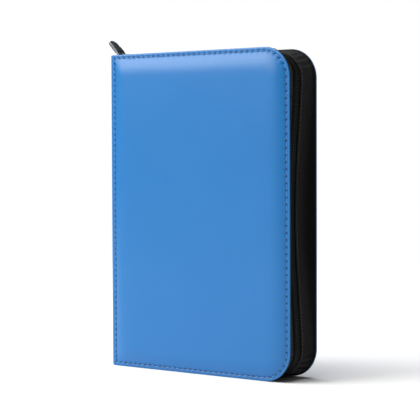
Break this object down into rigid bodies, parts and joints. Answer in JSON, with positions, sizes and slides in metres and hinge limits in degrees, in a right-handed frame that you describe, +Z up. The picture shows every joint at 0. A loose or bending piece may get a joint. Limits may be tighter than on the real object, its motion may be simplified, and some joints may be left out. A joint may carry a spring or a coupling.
{
  "type": "zip-around trading card binder",
  "caption": "Padded card binder with hinged covers, fabric gusset, zip with sliding pull, and bound leaves of clear card pockets.",
  "frame": {"origin": "centre of the spine's lower edge, on the plane that the closed binder stands on", "axes": "+X from the spine to the fore-edge, +Y from the front cover to the back cover, +Z up the spine"},
  "size_m": [0.1792, 0.041, 0.2524],
  "materials": {
    "cover_leather": "fine-grained bright blue artificial leather, satin",
    "blue_thread": "bonded sewing thread, tone on tone",
    "padding": "thin foam padding, hidden",
    "board": "stiff grey board, hidden",
    "lining": "matt black woven lining",
    "gusset_fabric": "black woven nylon",
    "zip_tape": "black woven zip tape",
    "zip_coil": "black nylon coil",
    "zip_metal": "dark gunmetal plating",
    "pull_metal": "dark gunmetal plating, polished",
    "spring_steel": "bright spring steel",
    "binding": "black welded leaf binding",
    "black_thread": "black sewing thread",
    "leaf_sheet": "black polypropylene, matt",
    "clear_pocket": "clear polypropylene film, glossy"
  },
  "bodies": {
    "spine": {"spine_leather": "cover_leather", "spine_board": "board", "spine_lining": "lining", "front_hinge_leather": "cover_leather", "back_hinge_leather": "cover_leather", "page_binding_comb": "binding", "page_binding_stitching": "black_thread"},
    "front_cover": {"front_cover_leather": "cover_leather", "front_cover_foam": "padding", "front_cover_board": "board", "front_cover_lining": "lining", "front_cover_stitching": "blue_thread", "front_gusset": "gusset_fabric", "front_zip_tape": "zip_tape", "front_zip_coil": "zip_coil"},
    "back_cover": {"back_cover_leather": "cover_leather", "back_cover_foam": "padding", "back_cover_board": "board", "back_cover_lining": "lining", "back_cover_stitching": "blue_thread", "back_gusset": "gusset_fabric", "back_zip_tape": "zip_tape", "back_zip_coil": "zip_coil", "zip_bottom_stop": "zip_metal"},
    "zip_slider": {"zip_slider_body": "zip_metal", "zip_slider_bail": "zip_metal", "zip_lock_spring": "spring_steel"},
    "zip_pull": {"zip_pull_tab": "pull_metal"},
    "leaf_01": {"leaf_01_sheet": "leaf_sheet", "leaf_01_pockets": "clear_pocket"},
    "leaf_02": {"leaf_02_sheet": "leaf_sheet", "leaf_02_pockets": "clear_pocket"},
    "leaf_03": {"leaf_03_sheet": "leaf_sheet", "leaf_03_pockets": "clear_pocket"},
    "leaf_04": {"leaf_04_sheet": "leaf_sheet", "leaf_04_pockets": "clear_pocket"},
    "leaf_05": {"leaf_05_sheet": "leaf_sheet", "leaf_05_pockets": "clear_pocket"},
    "leaf_06": {"leaf_06_sheet": "leaf_sheet", "leaf_06_pockets": "clear_pocket"},
    "leaf_07": {"leaf_07_sheet": "leaf_sheet", "leaf_07_pockets": "clear_pocket"},
    "leaf_08": {"leaf_08_sheet": "leaf_sheet", "leaf_08_pockets": "clear_pocket"},
    "leaf_09": {"leaf_09_sheet": "leaf_sheet", "leaf_09_pockets": "clear_pocket"},
    "leaf_10": {"leaf_10_sheet": "leaf_sheet", "leaf_10_pockets": "clear_pocket"},
    "leaf_11": {"leaf_11_sheet": "leaf_sheet", "leaf_11_pockets": "clear_pocket"},
    "leaf_12": {"leaf_12_sheet": "leaf_sheet", "leaf_12_pockets": "clear_pocket"}
  },
  "joints": [
    {"name": "front_cover_hinge", "type": "hinge", "parent": "spine", "child": "front_cover", "pos_m": [-0.0002, -0.0165, 0.12], "axis": [0, 0, -1], "range_deg": [0, 90]},
    {"name": "back_cover_hinge", "type": "hinge", "parent": "spine", "child": "back_cover", "pos_m": [-0.0002, 0.0165, 0.12], "axis": [0, 0, 1], "range_deg": [0, 90]},
    {"name": "zip_slide", "type": "slide", "parent": "back_cover", "child": "zip_slider", "axis": [1, 0, 0], "range_m": [0, 0.134]},
    {"name": "zip_pull_swing", "type": "hinge", "parent": "zip_slider", "child": "zip_pull", "pos_m": [0.0023, -0.005, 0.23935], "axis": [0, 1, 0], "range_deg": [0, 98]},
    {"name": "leaf_01_turn", "type": "hinge", "parent": "spine", "child": "leaf_01", "pos_m": [0.0079, -0.0121, 0.12], "axis": [0, 0, -1], "range_deg": [0, 72]},
    {"name": "leaf_02_turn", "type": "hinge", "parent": "spine", "child": "leaf_02", "pos_m": [0.0079, -0.0099, 0.12], "axis": [0, 0, -1], "range_deg": [0, 58.5]},
    {"name": "leaf_03_turn", "type": "hinge", "parent": "spine", "child": "leaf_03", "pos_m": [0.0079, -0.0077, 0.12], "axis": [0, 0, -1], "range_deg": [0, 45]},
    {"name": "leaf_04_turn", "type": "hinge", "parent": "spine", "child": "leaf_04", "pos_m": [0.0079, -0.0055, 0.12], "axis": [0, 0, -1], "range_deg": [0, 34.2]},
    {"name": "leaf_05_turn", "type": "hinge", "parent": "spine", "child": "leaf_05", "pos_m": [0.0079, -0.0033, 0.12], "axis": [0, 0, -1], "range_deg": [0, 22.5]},
    {"name": "leaf_06_turn", "type": "hinge", "parent": "spine", "child": "leaf_06", "pos_m": [0.0079, -0.0011, 0.12], "axis": [0, 0, -1], "range_deg": [0, 9]},
    {"name": "leaf_07_turn", "type": "hinge", "parent": "spine", "child": "leaf_07", "pos_m": [0.0079, 0.0011, 0.12], "axis": [0, 0, 1], "range_deg": [0, 9]},
    {"name": "leaf_08_turn", "type": "hinge", "parent": "spine", "child": "leaf_08", "pos_m": [0.0079, 0.0033, 0.12], "axis": [0, 0, 1], "range_deg": [0, 22.5]},
    {"name": "leaf_09_turn", "type": "hinge", "parent": "spine", "child": "leaf_09", "pos_m": [0.0079, 0.0055, 0.12], "axis": [0, 0, 1], "range_deg": [0, 34.2]},
    {"name": "leaf_10_turn", "type": "hinge", "parent": "spine", "child": "leaf_10", "pos_m": [0.0079, 0.0077, 0.12], "axis": [0, 0, 1], "range_deg": [0, 45]},
    {"name": "leaf_11_turn", "type": "hinge", "parent": "spine", "child": "leaf_11", "pos_m": [0.0079, 0.0099, 0.12], "axis": [0, 0, 1], "range_deg": [0, 58.5]},
    {"name": "leaf_12_turn", "type": "hinge", "parent": "spine", "child": "leaf_12", "pos_m": [0.0079, 0.0121, 0.12], "axis": [0, 0, 1], "range_deg": [0, 72]}
  ],
  "couplings": [
    {"joint": "leaf_01_turn", "follows": "front_cover_hinge", "ratio": 0.8},
    {"joint": "leaf_02_turn", "follows": "front_cover_hinge", "ratio": 0.65},
    {"joint": "leaf_03_turn", "follows": "front_cover_hinge", "ratio": 0.5},
    {"joint": "leaf_04_turn", "follows": "front_cover_hinge", "ratio": 0.38},
    {"joint": "leaf_05_turn", "follows": "front_cover_hinge", "ratio": 0.25},
    {"joint": "leaf_06_turn", "follows": "front_cover_hinge", "ratio": 0.1},
    {"joint": "leaf_07_turn", "follows": "back_cover_hinge", "ratio": 0.1},
    {"joint": "leaf_08_turn", "follows": "back_cover_hinge", "ratio": 0.25},
    {"joint": "leaf_09_turn", "follows": "back_cover_hinge", "ratio": 0.38},
    {"joint": "leaf_10_turn", "follows": "back_cover_hinge", "ratio": 0.5},
    {"joint": "leaf_11_turn", "follows": "back_cover_hinge", "ratio": 0.65},
    {"joint": "leaf_12_turn", "follows": "back_cover_hinge", "ratio": 0.8}
  ]
}
